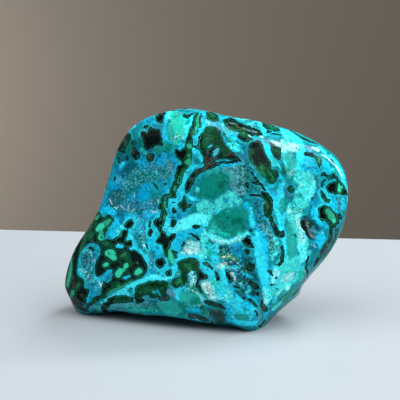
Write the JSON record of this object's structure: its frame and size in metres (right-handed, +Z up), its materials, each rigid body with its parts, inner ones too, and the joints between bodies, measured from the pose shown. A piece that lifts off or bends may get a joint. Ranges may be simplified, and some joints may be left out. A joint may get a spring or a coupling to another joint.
{
  "type": "polished chrysocolla specimen",
  "caption": "Hand-sized polished freeform of chrysocolla with malachite: a leaning lozenge with soft ridges, a flat to stand on and open hollows lined with tiny crystals.",
  "frame": {"origin": "middle of the stone's footprint box, on the surface it stands on", "axes": "+X to the viewer's right along the long side, +Y away from the show face through the thickness, +Z up"},
  "size_m": [0.102, 0.0463, 0.0764],
  "materials": {
    "polished_stone": "polished",
    "vug_crystals": "sparkling crystal crust",
    "pocket_crystals": "sparkling crystal crust"
  },
  "bodies": {
    "root": {"stone": "polished_stone", "vug_druse": "vug_crystals", "pocket_druse": "pocket_crystals"}
  },
  "joints": []
}
